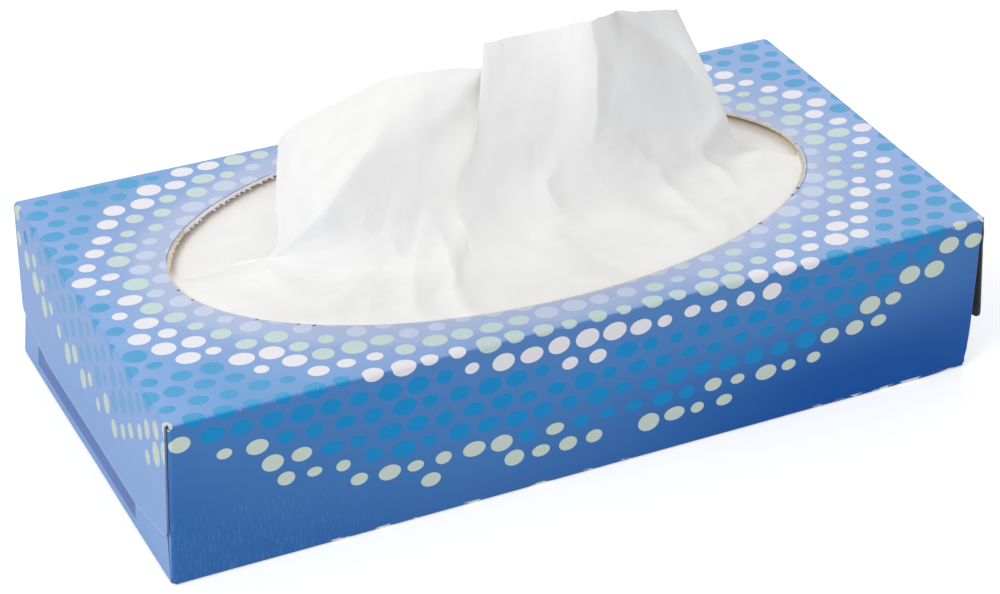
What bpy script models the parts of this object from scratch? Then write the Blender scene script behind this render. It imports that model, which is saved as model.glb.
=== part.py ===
"""A flat tissue box, built as the real one is: one folded sheet of board with a torn oval
opening, a pile of folded tissues inside it, and the top tissue pulled up through the opening.

X runs along the box, Y from its front to its back, Z up. The origin is the middle of the base.
"""

import math

import bmesh
import bpy
from mathutils import Vector

MM = 0.001
quarter_turn = math.pi / 2

# The box, outside, and its board
length = 230 * MM
width = 114.5 * MM
height = 47 * MM
board = 0.5 * MM
crease_radius = 0.6 * MM
glue_line = 0.12 * MM
relief = 0.3 * MM

# The opening, torn along its perforation
opening_end_margin = 24.3 * MM
opening_front_margin = 11.4 * MM
opening_back_margin = 7.8 * MM
nib_pitch = 2.3 * MM
nib_depth = 0.45 * MM
nib_foot = 0.7 * MM

# The flaps
end_flap_lift = 9.5 * MM
end_flap_taper_run = 21 * MM
end_flap_taper_rise = 3.5 * MM
end_flap_round = 2 * MM
bottom_flap_drop = 17 * MM
bottom_flap_taper = 4 * MM
dust_flap_space = 12.5 * MM
dust_flap_taper = 3 * MM
seam_flap_reach = 14 * MM
seam_flap_inset = 6 * MM
seam_flap_taper = 3 * MM
seam_lift = 0.3 * MM
rest_swing = math.radians(4.5)
hinge_gap = 0.3 * MM

# The pile of tissues and the pulled one
seat_gap = 0.3 * MM
pile_end_play = 8 * MM
pile_side_play = 2.7 * MM
headroom_front = 5.9 * MM
headroom_middle = 4.9 * MM
headroom_back = 5.4 * MM
pile_corner = 6 * MM
pile_corner_drop = 1 * MM
tissue_thickness = 0.4 * MM
fold_radius = 0.6 * MM
fold_setback = 0.6 * MM
back_setback = 4 * MM
side_setback = 2 * MM
rim_inset = 1.2 * MM
rim_tuck = 3 * MM
ridge_drop = 0.4 * MM
stand_height = 52.3 * MM
pleat_depth = 1.4 * MM
pleat_middle_row = 2.7
pleat_row_reach = 0.75

# How finely round and soft shapes are divided
crease_steps = 3
round_steps = 3
column_steps = 5
row_steps = 4
lower_rows = 7
pile_columns = 24
pile_rows = 12

lap = board + glue_line
corner_reach = board / 2 + crease_radius
crease_run = quarter_turn * crease_radius


def clear_scene():
    for thing in list(bpy.data.objects):
        bpy.data.objects.remove(thing)


def finish_material(name, colour, roughness):
    material = bpy.data.materials.new(name)
    material.use_nodes = True
    shader = material.node_tree.nodes["Principled BSDF"]
    shader.inputs["Base Color"].default_value = (*colour, 1)
    shader.inputs["Roughness"].default_value = roughness
    shader.inputs["Metallic"].default_value = 0
    return material


def add_object(name, mesh, material):
    data = bpy.data.meshes.new(name)
    mesh.to_mesh(data)
    mesh.free()
    data.materials.append(material)
    thing = bpy.data.objects.new(name, data)
    bpy.context.scene.collection.objects.link(thing)
    return thing


def thicken(thing, thickness):
    """Turns a sheet, drawn as the middle of its thickness, into a closed solid."""
    wall = thing.modifiers.new("thickness", "SOLIDIFY")
    wall.thickness = thickness
    wall.offset = 0
    wall.use_even_offset = True


# The blank, laid flat: u runs along the box and v round its girth, from the back panel's
# free edge over the top, down the front and under the bottom to the glued seam flap.
girth_runs = (
    ("back", height - corner_reach - seam_lift, 0),
    ("crease", crease_run, quarter_turn),
    ("top", width - 2 * corner_reach, 0),
    ("crease", crease_run, quarter_turn),
    ("front", height - 2 * corner_reach, 0),
    ("crease", crease_run, quarter_turn),
    ("bottom", width - 2 * corner_reach - lap, 0),
    ("crease", crease_run, quarter_turn),
    ("seam", seam_flap_reach, 0),
)
end_fold = {
    "top": length / 2 - corner_reach,
    "bottom": length / 2 - corner_reach - lap,
    "front": length / 2 - corner_reach - 2 * lap,
    "back": length / 2 - corner_reach - 2 * lap,
}
side_end = end_fold["front"]
seam_end = side_end - seam_flap_inset
end_flap_reach = height - corner_reach - end_flap_lift


def span(panel):
    """Where a panel's flat part starts and ends in v."""
    start = 0
    for name, run, _ in girth_runs:
        if name == panel:
            return start, start + run
        start += run
    raise ValueError(panel)


def girth(v):
    """The middle of the board at v: its place and its outward direction, in Y and Z."""
    place = Vector((width / 2 - board / 2, seam_lift))
    out = Vector((1, 0))
    panel = girth_runs[0][0]
    for name, run, turn in girth_runs:
        step = min(max(v, 0), run)
        if step > 0:
            panel = name
        angle = turn * step / run
        c, s = math.cos(angle), math.sin(angle)
        turned = Vector((out.x * c - out.y * s, out.x * s + out.y * c))
        if turn:
            place = place + (turned - out) * crease_radius
        else:
            place = place + Vector((-out.y, out.x)) * step
        out = turned
        v -= run
        if v <= 0:
            break
    return place, out, panel


def folded(u, v):
    """Where a point of the flat blank lies on the folded box."""
    place, out, panel = girth(v)
    along = abs(u)
    inward = 0
    if panel in end_fold and along > end_fold[panel]:
        over = along - end_fold[panel]
        turn = min(over / crease_radius, quarter_turn)
        along = end_fold[panel] + crease_radius * math.sin(turn)
        inward = crease_radius * (1 - math.cos(turn)) + max(over - crease_run, 0)
    middle = place - out * inward
    return Vector((math.copysign(along, u), middle.x, middle.y))


class Blank:
    """The flat blank's faces, each corner given in u and v and shared by the faces that meet there."""

    def __init__(self):
        self.mesh = bmesh.new()
        self.corners = {}

    def corner(self, u, v):
        key = (round(u / board, 5), round(v / board, 5))
        if key not in self.corners:
            self.corners[key] = self.mesh.verts.new(folded(u, v))
        return self.corners[key]

    def face(self, points):
        return self.mesh.faces.new([self.corner(u, v) for u, v in points])

    def long_crease(self, v, reach):
        """A crease along the box, from v, between two panels."""
        for i in range(crease_steps):
            a = v + crease_run * i / crease_steps
            b = v + crease_run * (i + 1) / crease_steps
            self.face([(-reach, a), (reach, a), (reach, b), (-reach, b)])

    def end_crease(self, panel, side):
        """The crease between a panel and its flap at one end."""
        low, high = span(panel)
        low, high = low + relief, high - relief
        for i in range(crease_steps):
            a = side * (end_fold[panel] + crease_run * i / crease_steps)
            b = side * (end_fold[panel] + crease_run * (i + 1) / crease_steps)
            self.face([(a, low), (b, low), (b, high), (a, high)])


def end_flap_outline(half, reach):
    """The outer end flap: (across, down) from its crease, tapered and rounded at its free corners."""
    turn = math.atan2(end_flap_taper_rise, end_flap_taper_run)
    corner_down = reach - end_flap_taper_rise
    points = [(half, 0)]
    for i in range(round_steps + 1):
        angle = (quarter_turn - turn) * i / round_steps
        points.append(
            (
                half - end_flap_round * (1 - math.cos(angle)),
                corner_down - end_flap_round * (1 - math.sin(angle)),
            )
        )
    points.append((half - end_flap_taper_run, reach))
    return points + [(-across, down) for across, down in reversed(points)]


def tapered_outline(half, reach, taper):
    """An inner flap: (across, down) from its crease, narrowing by taper at each side."""
    points = [(half, 0), (half - taper, reach)]
    return points + [(-across, down) for across, down in reversed(points)]


def flap_half(panel):
    low, high = span(panel)
    return (high - low) / 2 - relief


def flap(blank, panel, side, outline):
    """The flat of an end flap, beyond its crease."""
    low, high = span(panel)
    middle = (low + high) / 2
    start = end_fold[panel] + crease_run
    blank.face([(side * (start + down), middle + across) for across, down in outline])


def panel_outline(panel, half):
    """A plain panel's corners, with a point wherever the crease of an end flap starts or stops."""
    low, high = span(panel)
    edge = [(half, low), (half, low + relief), (half, high - relief), (half, high)]
    return edge + [(-u, v) for u, v in reversed(edge)]


def opening_centre():
    return 0, (opening_front_margin - opening_back_margin) / 2


def opening_half():
    return length / 2 - opening_end_margin, (width - opening_front_margin - opening_back_margin) / 2


def torn_rim():
    """The opening's rim in X and Y, anticlockwise from its right tip, with the nibs that the
    perforation's uncut bridges leave when the oval is torn out."""
    half_x, half_y = opening_half()
    centre_x, centre_y = opening_centre()
    fine = 720
    angles = [2 * math.pi * i / fine for i in range(fine + 1)]
    walked = [0]
    for a, b in zip(angles, angles[1:]):
        step_x = half_x * (math.cos(b) - math.cos(a))
        step_y = half_y * (math.sin(b) - math.sin(a))
        walked.append(walked[-1] + math.hypot(step_x, step_y))
    count = 2 * round(walked[-1] / nib_pitch / 2)
    rim = []
    for n in range(count):
        for offset, inset in ((0, 0), (0.5 - nib_foot / nib_pitch / 2, 0), (0.5, nib_depth),
                              (0.5 + nib_foot / nib_pitch / 2, 0)):
            target = walked[-1] * (n + offset) / count
            i = min(max(j for j in range(fine) if walked[j] <= target), fine - 1)
            share = (target - walked[i]) / (walked[i + 1] - walked[i])
            angle = angles[i] + (angles[i + 1] - angles[i]) * share
            rim.append((centre_x + (half_x - inset) * math.cos(angle),
                        centre_y + (half_y - inset) * math.sin(angle)))
    return rim


def top_panel(blank):
    """The top, in a back and a front face that meet at the opening's two tips."""
    low, high = span("top")
    end = end_fold["top"]
    back_y = width / 2 - corner_reach
    rim = [(x, low + back_y - y) for x, y in torn_rim()]
    half = len(rim) // 2
    back_rim = rim[: half + 1]
    front_rim = rim[half:] + rim[:1]
    back_edge = [(-end, low), (-side_end, low), (side_end, low), (end, low)]
    right_edge = [(end, low), (end, low + relief), (end, high - relief), (end, high)]
    front_edge = [(side_end, high), (-side_end, high)]
    left_edge = [(-u, v) for u, v in reversed(right_edge)]
    blank.face(back_rim + back_edge)
    blank.face(front_rim + right_edge + front_edge + left_edge)


def build_carton(material):
    """One sheet of board, folded and glued. Its right end shows the crease of the loose flap."""
    blank = Blank()
    back_low, back_high = span("back")
    blank.face(panel_outline("back", side_end))
    blank.long_crease(back_high, side_end)
    top_panel(blank)
    blank.long_crease(span("top")[1], side_end)
    blank.face(panel_outline("front", side_end))
    blank.long_crease(span("front")[1], side_end)
    low, high = span("bottom")
    end = end_fold["bottom"]
    front_edge = [(-end, low), (-side_end, low), (side_end, low), (end, low)]
    right_edge = [(end, low + relief), (end, high - relief), (end, high)]
    seam_edge = [(seam_end, high), (-seam_end, high)]
    left_edge = [(-u, v) for u, v in reversed(right_edge)]
    blank.face(front_edge + right_edge + seam_edge + left_edge)
    blank.long_crease(high, seam_end)
    low, high = span("seam")
    tip = seam_end - seam_flap_taper
    blank.face([(-seam_end, low), (seam_end, low), (tip, high), (-tip, high)])

    dust_reach = (width - dust_flap_space) / 2 - board - crease_radius
    bottom_reach = height - corner_reach - bottom_flap_drop
    for side in (-1, 1):
        for panel in ("back", "front"):
            blank.end_crease(panel, side)
            flap(blank, panel, side, tapered_outline(flap_half(panel), dust_reach, dust_flap_taper))
        blank.end_crease("bottom", side)
        outline = tapered_outline(flap_half("bottom"), bottom_reach, bottom_flap_taper)
        flap(blank, "bottom", side, outline)
        blank.end_crease("top", side)
    flap(blank, "top", -1, end_flap_outline(flap_half("top"), end_flap_reach))

    bmesh.ops.recalc_face_normals(blank.mesh, faces=blank.mesh.faces)
    carton = add_object("carton", blank.mesh, material)
    thicken(carton, board)


def build_end_flap(material):
    """The right end's outer flap, never glued: it hangs from its crease, a little open."""
    mesh = bmesh.new()
    outline = end_flap_outline(flap_half("top"), end_flap_reach - hinge_gap)
    mesh.faces.new([mesh.verts.new((-board / 2, y, -hinge_gap - down)) for y, down in outline])
    thing = add_object("end_flap", mesh, material)
    thicken(thing, board)
    thing.location = (length / 2, 0, height - corner_reach)
    thing.rotation_euler = (0, -rest_swing, 0)


def pile_half():
    inside_x = length / 2 - board - 2 * lap
    inside_y = width / 2 - board - lap
    return inside_x - pile_end_play, inside_y - pile_side_play


def pile_top(y):
    """The pile's upper face: highest along its middle, where the tissues are pulled from."""
    _, half_y = pile_half()
    share = min(max(y / half_y, -1), 1)
    middle = height - board - headroom_middle
    edge = height - board - (headroom_back if share > 0 else headroom_front)
    return middle + (edge - middle) * (1 - math.cos(math.pi * share)) / 2


def build_pile(material):
    """The folded tissues that are left, resting on the carton's bottom."""
    half_x, half_y = pile_half()
    foot = board + seat_gap
    mesh = bmesh.new()
    top = []
    for j in range(pile_rows + 1):
        y = half_y * (2 * j / pile_rows - 1)
        row = []
        for i in range(pile_columns + 1):
            x = half_x * (2 * i / pile_columns - 1)
            droop = pile_corner_drop * (max(abs(x) - half_x + pile_corner, 0) / pile_corner) ** 2
            row.append(mesh.verts.new((x, y, pile_top(y) - droop)))
        top.append(row)
    for low_row, high_row in zip(top, top[1:]):
        for i in range(pile_columns):
            mesh.faces.new((low_row[i], low_row[i + 1], high_row[i + 1], high_row[i]))
    rim = top[0] + [row[-1] for row in top[1:]] + top[-1][-2::-1] + [row[0] for row in top[-2:0:-1]]
    base = [mesh.verts.new((v.co.x, v.co.y, foot)) for v in rim]
    for i in range(len(rim)):
        j = (i + 1) % len(rim)
        mesh.faces.new((rim[j], rim[i], base[i], base[j]))
    mesh.faces.new(list(reversed(base)))
    bmesh.ops.recalc_face_normals(mesh, faces=mesh.faces)
    add_object("tissue_pile", mesh, material)


# Shape of the pulled tissue, from its left edge to its right one. Each point is a share of the
# opening's half length, its half width and the tissue's height above the box's top.
top_edge_shares = (
    (-0.615, 0.281, 0.500),
    (-0.558, 0.265, 0.587),
    (-0.318, 0.187, 0.761),
    (-0.187, 0.056, 0.830),
    (0.026, 0.103, 0.760),
    (-0.046, 0.007, 0.943),
    (0.148, -0.021, 0.962),
    (0.263, -0.071, 1.000),
    (0.385, -0.015, 0.970),
    (0.518, 0.101, 0.883),
    (0.604, 0.104, 0.860),
)
waist_shares = (
    (-0.639, 0.224, 0.220),
    (-0.602, 0.039, 0.353),
    (-0.487, -0.107, 0.506),
    (-0.292, -0.119, 0.545),
    (-0.056, -0.059, 0.550),
    (-0.140, -0.184, 0.550),
    (0.088, -0.173, 0.572),
    (0.217, -0.289, 0.654),
    (0.385, -0.200, 0.617),
    (0.576, -0.060, 0.532),
    (0.704, 0.025, 0.474),
)
throat_shares = (
    (-0.687, 0.017, 0.043),
    (-0.620, -0.080, 0.100),
    (-0.501, -0.207, 0.176),
    (-0.342, -0.296, 0.223),
    (-0.210, -0.318, 0.232),
    (-0.162, -0.321, 0.227),
    (0.023, -0.318, 0.227),
    (0.220, -0.317, 0.240),
    (0.411, -0.305, 0.204),
    (0.630, -0.204, 0.141),
    (0.815, 0.004, 0.030),
)
skirt_shares = (
    (-0.799, 0.174, -0.061),
    (-0.756, -0.124, -0.015),
    (-0.628, -0.302, -0.008),
    (-0.417, -0.443, 0.004),
    (-0.235, -0.504, 0.014),
    (-0.100, -0.551, 0.027),
    (0.074, -0.591, 0.043),
    (0.318, -0.526, 0.013),
    (0.557, -0.446, 0.019),
    (0.774, -0.289, 0.017),
    (0.915, -0.019, -0.032),
)
rim_start_angle = math.radians(168.6)
rim_end_angle = math.radians(350.6)
pleat_shares = ((0.20, 0.030), (0.27, 0.022), (0.335, 0.022), (0.62, 0.040), (0.84, 0.030))


def through(points, t):
    """A smooth curve through evenly counted points, t running from 0 to their number less one."""
    i = min(int(t), len(points) - 2)
    t -= i
    b, c = points[i], points[i + 1]
    a = points[i - 1] if i else b * 2 - c
    d = points[i + 2] if i + 2 < len(points) else c * 2 - b
    return (
        b * 2 + (c - a) * t + (a * 2 - b * 5 + c * 4 - d) * t**2 + (b * 3 - a - c * 3 + d) * t**3
    ) / 2


def from_shares(shares):
    half_x, half_y = opening_half()
    centre_x, centre_y = opening_centre()
    return [
        Vector((centre_x + half_x * x, centre_y + half_y * y, height + stand_height * z))
        for x, y, z in shares
    ]


def rim_row(outset, drop):
    """Knots along the opening's front half, outset from the rim, a drop below the top's inner face."""
    half_x, half_y = opening_half()
    centre_x, centre_y = opening_centre()
    last = len(top_edge_shares) - 1
    row = []
    for k in range(last + 1):
        share = k / last
        angle = rim_start_angle + (rim_end_angle - rim_start_angle) * share
        sag = ridge_drop * (2 * share - 1) ** 6
        row.append(
            Vector(
                (
                    centre_x + (half_x + outset) * math.cos(angle),
                    centre_y + (half_y + outset) * math.sin(angle),
                    height - board - drop - sag,
                )
            )
        )
    return row


def flat_row(y, lift):
    """Knots across the sheet's full width where it lies on the pile, a lift above it."""
    half_x = pile_half()[0] - side_setback
    last = len(top_edge_shares) - 1
    return [Vector((half_x * (2 * k / last - 1), y, pile_top(y) + lift)) for k in range(last + 1)]


def build_pulled_tissue(material):
    """The top tissue: its lower half lies on the pile, folded at the front, and its upper half
    comes back over it as a skirt and stands up out of the opening."""
    rest = seat_gap + tissue_thickness / 2
    front = -(pile_half()[1] - fold_setback)
    back = pile_half()[1] - back_setback
    knots = [
        from_shares(top_edge_shares),
        from_shares(waist_shares),
        from_shares(throat_shares),
        from_shares(skirt_shares),
        rim_row(-rim_inset, rest),
        rim_row(rim_tuck, rest + tissue_thickness),
        flat_row(front + fold_radius, rest + 2 * fold_radius),
    ]
    columns = column_steps * (len(top_edge_shares) - 1)
    rows = []
    for j in range(row_steps * (len(knots) - 1) + 1):
        row = [through([r[k] for r in knots], j / row_steps) for k in range(len(knots[0]))]
        rows.append([through(row, i / column_steps) for i in range(columns + 1)])
    pleated = []
    for j, row in enumerate(rows):
        down = j / row_steps
        strength = pleat_depth * math.exp(-(((down - pleat_middle_row) / pleat_row_reach) ** 2))
        new_row = []
        for i, point in enumerate(row):
            across = row[min(i + 1, columns)] - row[max(i - 1, 0)]
            along = rows[min(j + 1, len(rows) - 1)][i] - rows[max(j - 1, 0)][i]
            normal = along.cross(across).normalized()
            share = i / columns
            rise = sum(math.exp(-(((share - place) / spread) ** 2)) for place, spread in pleat_shares)
            new_row.append(point + normal * strength * rise)
        pleated.append(new_row)
    rows = pleated
    turned = front + fold_radius
    lower = [(turned + (back - turned) * n / lower_rows, rest) for n in range(lower_rows + 1)]
    for y, lift in [(front, rest + fold_radius), *lower]:
        flat = flat_row(y, lift)
        rows.append([through(flat, i / column_steps) for i in range(columns + 1)])

    mesh = bmesh.new()
    corners = [[mesh.verts.new(point) for point in row] for row in rows]
    for upper, lower in zip(corners, corners[1:]):
        for i in range(columns):
            mesh.faces.new((upper[i], upper[i + 1], lower[i + 1], lower[i]))
    bmesh.ops.recalc_face_normals(mesh, faces=mesh.faces)
    tissue = add_object("pulled_tissue", mesh, material)
    thicken(tissue, tissue_thickness)
    tissue.data.shade_smooth()


def main():
    clear_scene()
    printed_board = finish_material("printed_board", (0.2, 0.36, 0.68), 0.45)
    flap_board = finish_material("flap_board", (0.2, 0.36, 0.68), 0.45)
    pile_paper = finish_material("pile_paper", (0.86, 0.85, 0.83), 0.9)
    tissue_paper = finish_material("tissue_paper", (0.9, 0.9, 0.9), 0.9)
    build_carton(printed_board)
    build_end_flap(flap_board)
    build_pile(pile_paper)
    build_pulled_tissue(tissue_paper)


main()
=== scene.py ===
import math

import bmesh
import bpy
import numpy
from mathutils import Matrix, Vector, noise


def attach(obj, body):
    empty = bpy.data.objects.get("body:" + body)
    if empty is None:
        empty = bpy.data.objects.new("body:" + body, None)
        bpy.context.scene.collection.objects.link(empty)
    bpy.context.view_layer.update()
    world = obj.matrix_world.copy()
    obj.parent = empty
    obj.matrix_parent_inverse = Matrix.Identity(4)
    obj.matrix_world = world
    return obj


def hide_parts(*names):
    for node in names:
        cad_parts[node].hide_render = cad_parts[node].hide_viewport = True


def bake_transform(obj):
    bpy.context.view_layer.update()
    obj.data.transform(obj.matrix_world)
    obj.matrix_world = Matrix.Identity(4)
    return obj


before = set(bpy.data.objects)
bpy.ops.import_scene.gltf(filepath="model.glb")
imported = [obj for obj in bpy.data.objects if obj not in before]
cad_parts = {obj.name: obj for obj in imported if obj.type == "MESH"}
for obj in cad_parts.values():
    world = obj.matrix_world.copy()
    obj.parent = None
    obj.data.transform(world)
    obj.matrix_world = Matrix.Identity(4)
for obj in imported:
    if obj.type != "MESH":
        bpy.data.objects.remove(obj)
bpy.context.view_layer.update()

# The studio. A long lens looks down at the box's left front corner. A big soft lamp hangs high
# on the left, white surroundings fill the rest, and the box stands on a wide white table.
MM = 0.001
camera_turn, camera_rise, camera_roll = -26.893, 32.390, 1.278
camera_distance = 0.75994
camera_target = Vector((-1.79, -5.43, 23.5)) * MM
camera_lens = 102.4


def aim(thing, turn, rise, roll, distance):
    """Faces a camera or lamp to the box. Degrees of turn from -Y, rise from level, and roll."""
    turn, rise, roll = (math.radians(a) for a in (turn, rise, roll))
    back = Vector((math.sin(turn) * math.cos(rise), -math.cos(turn) * math.cos(rise), math.sin(rise)))
    right = Vector((0, 0, 1)).cross(back).normalized()
    up = back.cross(right)
    right, up = (
        right * math.cos(roll) + up * math.sin(roll),
        up * math.cos(roll) - right * math.sin(roll),
    )
    place = Matrix((right, up, back)).transposed().to_4x4()
    place.translation = camera_target + back * distance
    thing.matrix_world = place


def put(name, data):
    thing = bpy.data.objects.new(name, data)
    bpy.context.scene.collection.objects.link(thing)
    return thing


camera = put("camera", bpy.data.cameras.new("camera"))
camera.data.lens = camera_lens
camera.data.clip_start = 0.01
aim(camera, camera_turn, camera_rise, camera_roll, camera_distance)
bpy.context.scene.camera = camera
bpy.context.scene.view_settings.view_transform = "Standard"

for name, size, energy, turn, rise, distance in (
    ("soft_lamp", 0.9, 12, -70, 46, 1.8),
    ("fill_lamp", 1.0, 3.8, -22, 27, 1.8),
    ("back_lamp", 1.5, 9, 156, 33, 2),
):
    lamp = put(name, bpy.data.lights.new(name, "AREA"))
    lamp.data.shape, lamp.data.size, lamp.data.energy = "DISK", size, energy
    aim(lamp, turn, rise, 0, distance)


class Wire:
    """What a node puts out. Each sum on it, with a wire or a plain number, adds a math node."""

    def __init__(self, socket):
        self.socket, self.tree = socket, socket.id_data

    def __add__(self, other):
        return reckon("ADD", self, other)

    def __sub__(self, other):
        return reckon("SUBTRACT", self, other)

    def __rsub__(self, other):
        return reckon("SUBTRACT", other, self)

    def __mul__(self, other):
        return reckon("MULTIPLY", self, other)

    def __truediv__(self, other):
        return reckon("DIVIDE", self, other)

    def __gt__(self, other):
        return reckon("GREATER_THAN", self, other)

    def __lt__(self, other):
        return reckon("LESS_THAN", self, other)

    def __abs__(self):
        return reckon("ABSOLUTE", self)


def colour(shade):
    """Six hex digits as the renderer's own light values. Any other value comes back as it is."""
    if not isinstance(shade, str):
        return shade
    shares = [int(shade[i : i + 2], 16) / 255 for i in (0, 2, 4)]
    return (*(s / 12.92 if s <= 0.04045 else ((s + 0.055) / 1.055) ** 2.4 for s in shares), 1)


def set_inputs(node, inputs):
    """Sets a node's inputs, or links them to wires, by name or number."""
    for key, value in inputs.items():
        if isinstance(value, Wire):
            value.tree.links.new(value.socket, node.inputs[key])
        else:
            node.inputs[key].default_value = colour(value)


def add_node(tree, kind, inputs=None, **settings):
    node = tree.nodes.new(kind)
    for key, value in settings.items():
        setattr(node, key, value)
    set_inputs(node, inputs or {})
    return node


def wire(tree, kind, inputs=None, output=0, **settings):
    """Adds a node and gives what it puts out."""
    return Wire(add_node(tree, kind, inputs, **settings).outputs[output])


def reckon(operation, *values):
    """One sum on numbers, at least one of them a wire."""
    tree = next(value.tree for value in values if isinstance(value, Wire))
    return wire(tree, "ShaderNodeMath", dict(enumerate(values)), operation=operation)


def new_material(name, roughness):
    material = bpy.data.materials.new(name)
    material.use_nodes = True
    shader = material.node_tree.nodes["Principled BSDF"]
    set_inputs(shader, {"Roughness": roughness})
    return material, material.node_tree, shader


world = bpy.data.worlds.new("white_surroundings")
bpy.context.scene.world = world
world.use_nodes = True
seen = wire(world.node_tree, "ShaderNodeLightPath", output="Is Camera Ray")
backdrop = world.node_tree.nodes["Background"]
set_inputs(backdrop, {"Color": (1, 1, 1, 1), "Strength": seen * 0.45 + 0.55})

floor_mesh = bmesh.new()
bmesh.ops.create_circle(floor_mesh, cap_ends=True, radius=6, segments=64)
floor_data = bpy.data.meshes.new("white_table")
floor_mesh.to_mesh(floor_data)
floor_mesh.free()
floor = put("white_table", floor_data)
floor_material, tree, shader = new_material("white_table", 0.9)
seen = wire(tree, "ShaderNodeLightPath", output="Is Camera Ray")
set_inputs(shader, {
    "Base Color": (0.8, 0.8, 0.8, 1), "Specular IOR Level": 0,
    "Emission Color": (1, 1, 1, 1), "Emission Strength": seen * 0.42,
})
floor_data.materials.append(floor_material)

# The carton: one sheet of white-lined grey board, printed and varnished outside, creased, folded
# and glued. Its blank is drawn flat, u along the box and v round its girth, and then folded. The
# right end's outer flap isn't glued and is a piece of its own.
length, width, height = 230 * MM, 114.5 * MM, 47 * MM
board = 0.5 * MM
crease_radius = 0.6 * MM
lap = board + 0.12 * MM
relief = 0.3 * MM
seam_lift = 0.3 * MM
corner_reach = board / 2 + crease_radius
crease_run = math.pi / 2 * crease_radius
opening_half_x, opening_half_y, opening_y = 90.7 * MM, 47.65 * MM, 1.8 * MM
outer_flap_reach = height - corner_reach - 9.5 * MM
bottom_flap_reach = height - corner_reach - 17 * MM
dust_flap_reach = (width - 12.5 * MM) / 2 - board - crease_radius
girth_runs = (
    ("back", height - corner_reach - seam_lift, False),
    ("crease", crease_run, True),
    ("top", width - 2 * corner_reach, False),
    ("crease", crease_run, True),
    ("front", height - 2 * corner_reach, False),
    ("crease", crease_run, True),
    ("bottom", width - 2 * corner_reach - lap, False),
    ("crease", crease_run, True),
    ("seam", 14 * MM, False),
)
end_fold = {
    "top": length / 2 - corner_reach,
    "bottom": length / 2 - corner_reach - lap,
    "front": length / 2 - corner_reach - lap - 0.1 * MM,
    "back": length / 2 - corner_reach - lap - 0.1 * MM,
}
dust_flap_dive, dive_run = lap - 0.1 * MM, 4 * MM
side_end = end_fold["front"]
seam_end = side_end - 6 * MM


def span(panel):
    """Where a panel's flat part starts and ends in v."""
    start = 0
    for name, run, _ in girth_runs:
        if name == panel:
            return start, start + run
        start += run


def girth(v):
    """The middle of the board at v: its place and its outward direction, in Y and Z."""
    place, angle, panel = Vector((width / 2 - board / 2, seam_lift)), 0, "back"
    for name, run, bends in girth_runs:
        step = min(max(v, 0), run)
        if step > 0:
            panel = name
        if bends:
            turned = angle + math.pi / 2 * step / run
            arc = Vector((math.cos(turned) - math.cos(angle), math.sin(turned) - math.sin(angle)))
            place, angle = place + arc * crease_radius, turned
        else:
            place = place + Vector((-math.sin(angle), math.cos(angle))) * step
        v -= run
        if v <= 0:
            break
    return place, Vector((math.cos(angle), math.sin(angle))), panel


def mix(a, b, share):
    return a + (b - a) * share


# The waves and dents come from noise_vector, which differs from run to run unless it has a seed.
noise.seed_set(7)


def handled(point):
    """Moves a point as wear and handling have: faint waves all over, ends that have sprung out,
    the right one all the way up and the left one at its foot, and the right front corner, crushed
    at its foot and dented near its top."""
    waves = noise.noise_vector(point / (45 * MM)) * 0.16 * MM
    at_end = abs(2 * point.x / length) ** 8
    up = min(max(point.z / height, 0), 1)
    if point.x > 0:
        sprung = 1.1 * MM + 0.3 * MM * (1 - up)
    else:
        toward_front = min(max(0.5 - point.y / width, 0), 1)
        sprung = -1.1 * MM * max(1 - up / mix(0.25, 1, toward_front), 0)
    moved = point + waves + Vector((sprung * at_end, 0, 0))
    for corner_z, reach, depth, push in ((2, 6, 0.5, (-0.4, 0.3, 0.3)), (41, 5, 0.45, (0, 0.1, 0))):
        corner = Vector((length / 2 - 3 * MM, -width / 2, corner_z * MM))
        near = math.exp(-(((point - corner).length / (reach * MM)) ** 2))
        creased = noise.noise_vector(point / (3.5 * MM) + Vector((7, 3, 1))) * depth
        moved += (creased + Vector(push)) * MM * near
    moved.z = max(moved.z, 0)
    return moved


def folded(u, v, bend=math.pi / 2):
    """Where a point of the flat blank lies on the folded box, its end flaps bent by an angle."""
    place, out, panel = girth(v)
    along, inward = abs(u), 0
    if panel in end_fold and along > end_fold[panel]:
        over = along - end_fold[panel]
        turn = min(over / crease_radius, bend)
        rest = max(over - bend * crease_radius, 0)
        along = end_fold[panel] + crease_radius * math.sin(turn) + rest * math.cos(bend)
        inward = crease_radius * (1 - math.cos(turn)) + rest * math.sin(bend)
        if panel in ("front", "back"):
            along -= dust_flap_dive * min(rest / dive_run, 1)
    middle = place - out * inward
    return handled(Vector((math.copysign(along, u), middle.x, middle.y)))


def shares(count):
    return [i / count for i in range(count + 1)]


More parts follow.
